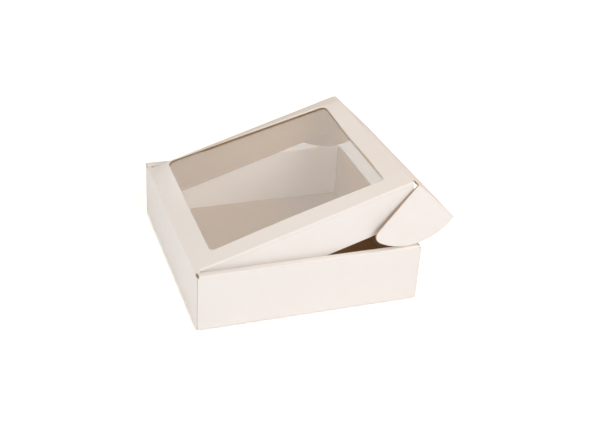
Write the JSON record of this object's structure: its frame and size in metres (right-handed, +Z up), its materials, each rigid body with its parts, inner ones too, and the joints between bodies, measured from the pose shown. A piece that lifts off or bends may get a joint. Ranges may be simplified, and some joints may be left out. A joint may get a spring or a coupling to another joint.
{
  "type": "favor box",
  "caption": "Folding gift box of thin corrugated board with rolled side walls and a hinged lid that has a clear film window, side flaps and a tuck flap with ears.",
  "frame": {"origin": "centre of the base's underside", "axes": "+Z up; +X from the lid's crease towards the front wall and tuck flap; +Y from the near side wall to the far one"},
  "size_m": [0.1782, 0.16, 0.0876],
  "materials": {
    "board": "matte cream liner",
    "window_film": "clear"
  },
  "bodies": {
    "tray": {"base_panel": "board", "back_wall": "board", "front_wall": "board", "near_outer_wall": "board", "near_top_strip": "board", "near_inner_wall": "board", "far_outer_wall": "board", "far_top_strip": "board", "far_inner_wall": "board", "back_near_corner_flap": "board", "back_far_corner_flap": "board", "front_near_corner_flap": "board", "front_far_corner_flap": "board"},
    "lid": {"lid_panel": "board", "window_film": "window_film"},
    "near_lid_flap": {"near_lid_flap": "board"},
    "far_lid_flap": {"far_lid_flap": "board"},
    "tuck_flap": {"tuck_flap": "board"},
    "near_ear": {"near_ear": "board"},
    "far_ear": {"far_ear": "board"}
  },
  "joints": [
    {"name": "lid_crease", "type": "hinge", "parent": "tray", "child": "lid", "pos_m": [-0.07625, 0, 0.04045], "axis": [0, -1, 0], "range_deg": [0, 120]},
    {"name": "near_lid_flap_crease", "type": "hinge", "parent": "lid", "child": "near_lid_flap", "pos_m": [-0.00434, -0.0708, 0.06295], "axis": [0.9513, 0, 0.3081], "range_deg": [0, 85]},
    {"name": "far_lid_flap_crease", "type": "hinge", "parent": "lid", "child": "far_lid_flap", "pos_m": [-0.00434, 0.0708, 0.06295], "axis": [-0.9513, 0, -0.3081], "range_deg": [0, 85]},
    {"name": "tuck_crease", "type": "hinge", "parent": "lid", "child": "tuck_flap", "pos_m": [0.06712, 0, 0.08689], "axis": [0, -1, 0], "range_deg": [-31, 58]},
    {"name": "near_ear_crease", "type": "hinge", "parent": "tuck_flap", "child": "near_ear", "pos_m": [0.08393, -0.07365, 0.07255], "axis": [-0.761, 0, 0.6488], "range_deg": [-5, 84]},
    {"name": "far_ear_crease", "type": "hinge", "parent": "tuck_flap", "child": "far_ear", "pos_m": [0.08393, 0.07365, 0.07255], "axis": [0.761, 0, -0.6488], "range_deg": [-5, 84]}
  ]
}
